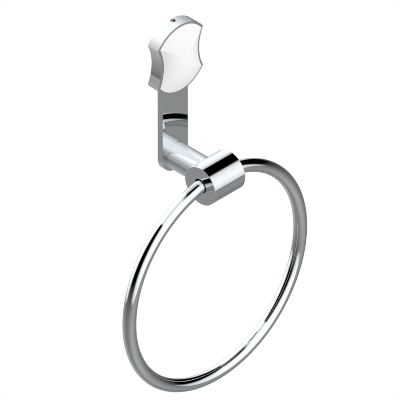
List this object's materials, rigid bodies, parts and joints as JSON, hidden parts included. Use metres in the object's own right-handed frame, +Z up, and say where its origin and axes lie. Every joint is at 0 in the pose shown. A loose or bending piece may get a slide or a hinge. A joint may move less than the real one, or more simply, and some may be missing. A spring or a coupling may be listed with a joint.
{
  "type": "towel ring",
  "caption": "Chrome towel ring that swings in a barrel on a post, below a waisted wall cap with a white ceramic inlay.",
  "frame": {"origin": "centre of the cap, on the wall plane", "axes": "+Y into the wall, +Z up, +X to the right for someone facing the wall"},
  "size_m": [0.183, 0.0604, 0.2925],
  "materials": {
    "chrome_plate": "polished",
    "ceramic": "glazed",
    "bracket_zinc": "satin",
    "screw_steel": "satin",
    "sleeve_brass": "plain"
  },
  "bodies": {
    "wall_fitting": {"cap_body": "chrome_plate", "ceramic_inlay": "ceramic", "cap_grub_screw": "screw_steel", "wall_bracket": "bracket_zinc", "strap": "chrome_plate", "strap_screw_upper": "screw_steel", "strap_screw_lower": "screw_steel", "post": "chrome_plate", "post_screw_upper": "screw_steel", "post_screw_lower": "screw_steel", "barrel": "chrome_plate", "barrel_stud": "screw_steel"},
    "hanging_ring": {"ring": "chrome_plate", "ring_sleeve": "sleeve_brass"}
  },
  "joints": [
    {"name": "ring_swing", "type": "hinge", "parent": "wall_fitting", "child": "hanging_ring", "pos_m": [0, -0.0452, -0.0866], "axis": [-1, 0, 0], "range_deg": [-13, 193]}
  ]
}
